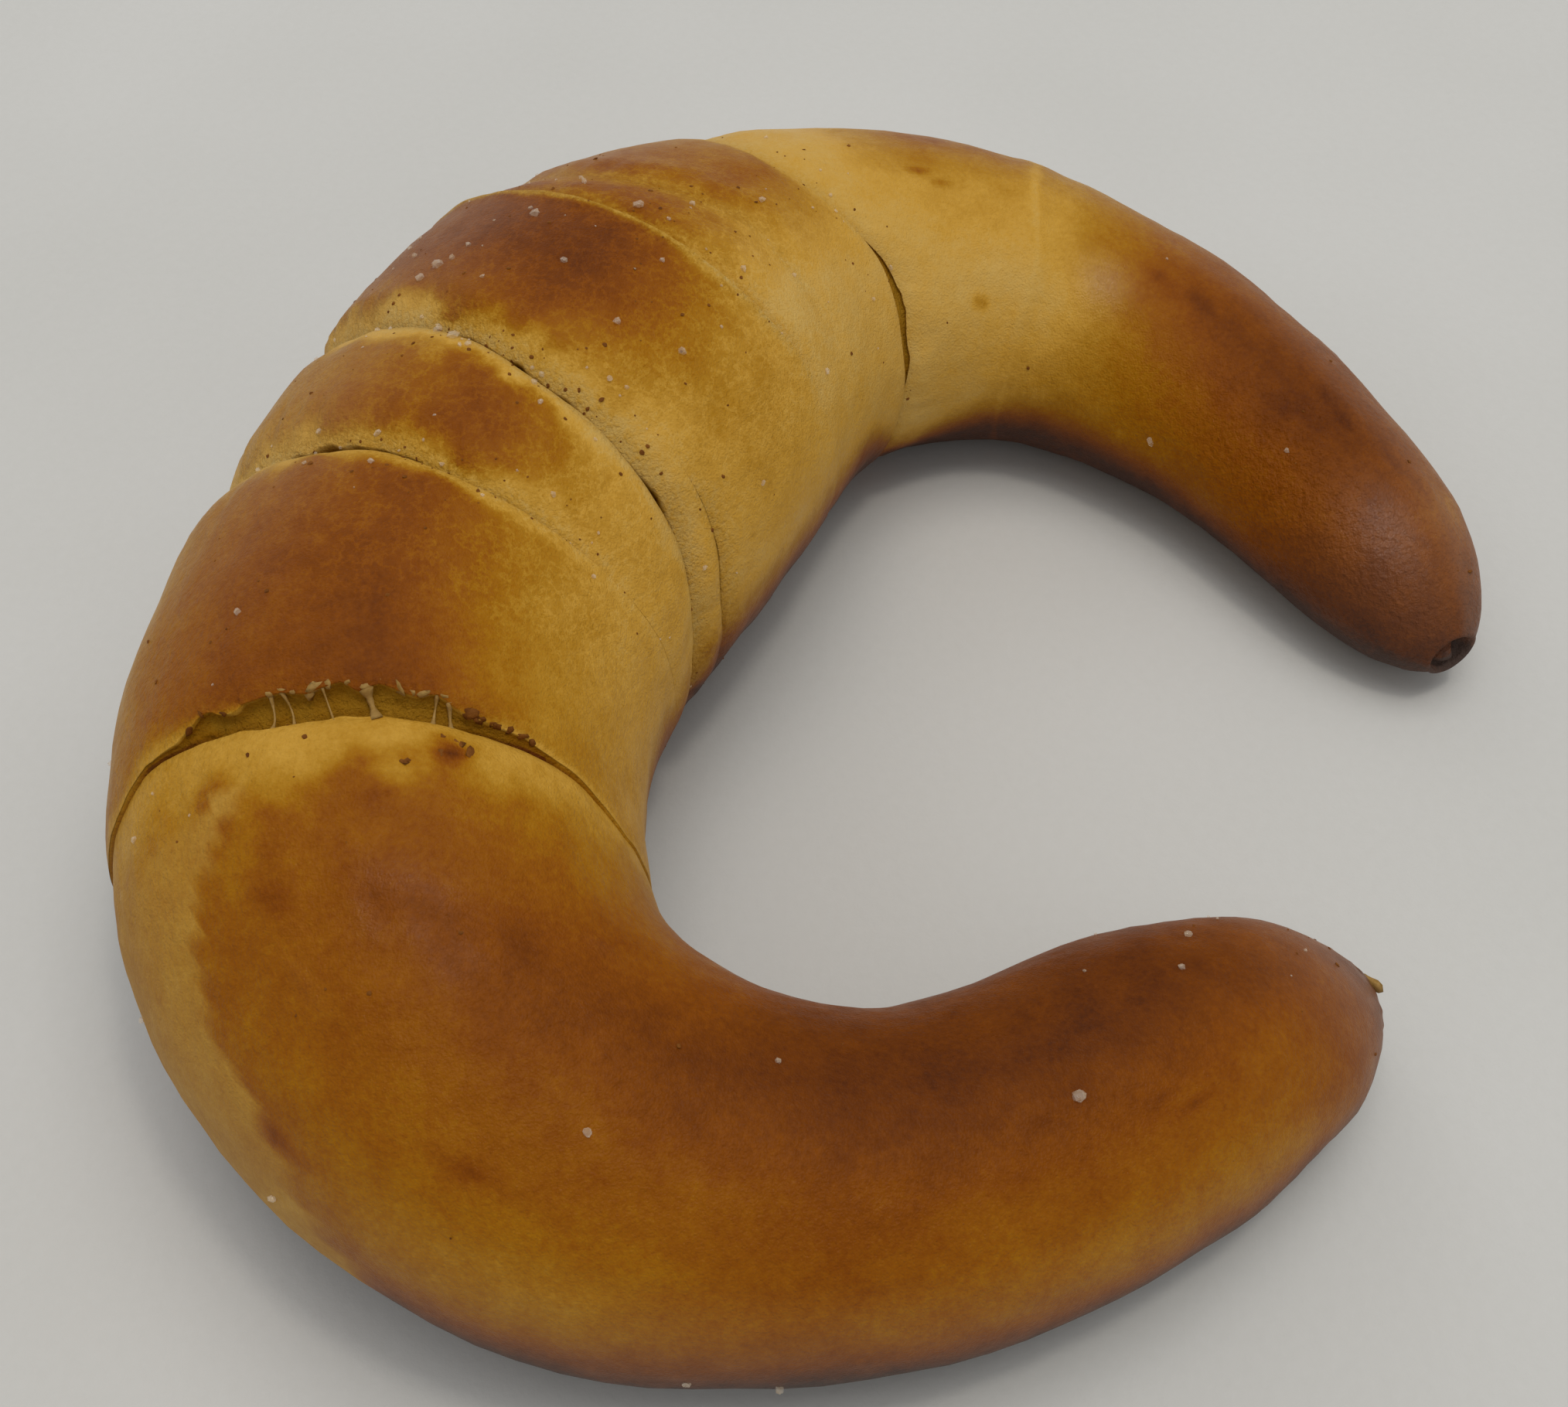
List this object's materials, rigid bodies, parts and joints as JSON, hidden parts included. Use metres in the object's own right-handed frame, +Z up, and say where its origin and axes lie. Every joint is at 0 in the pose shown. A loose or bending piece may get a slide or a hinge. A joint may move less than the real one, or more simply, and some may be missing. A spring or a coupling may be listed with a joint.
{
  "type": "croissant",
  "caption": "Crescent bread roll, bent into a C, with rolled layers, split seams and a glossy browned crust; it rests on its flat base.",
  "frame": {"origin": "centre of the bounding box in plan, at the flat base", "axes": "+X from the one horn to the other along the longest side, +Y towards the roll's back so that the bay opens to -Y, +Z up"},
  "size_m": [0.1366, 0.125, 0.0444],
  "materials": {
    "baked_crust": "satin egg-wash glaze",
    "salt": "clear coarse grains",
    "crumb": "matt toasted crumbs"
  },
  "bodies": {
    "root": {"crescent_roll": "baked_crust"}
  },
  "joints": []
}
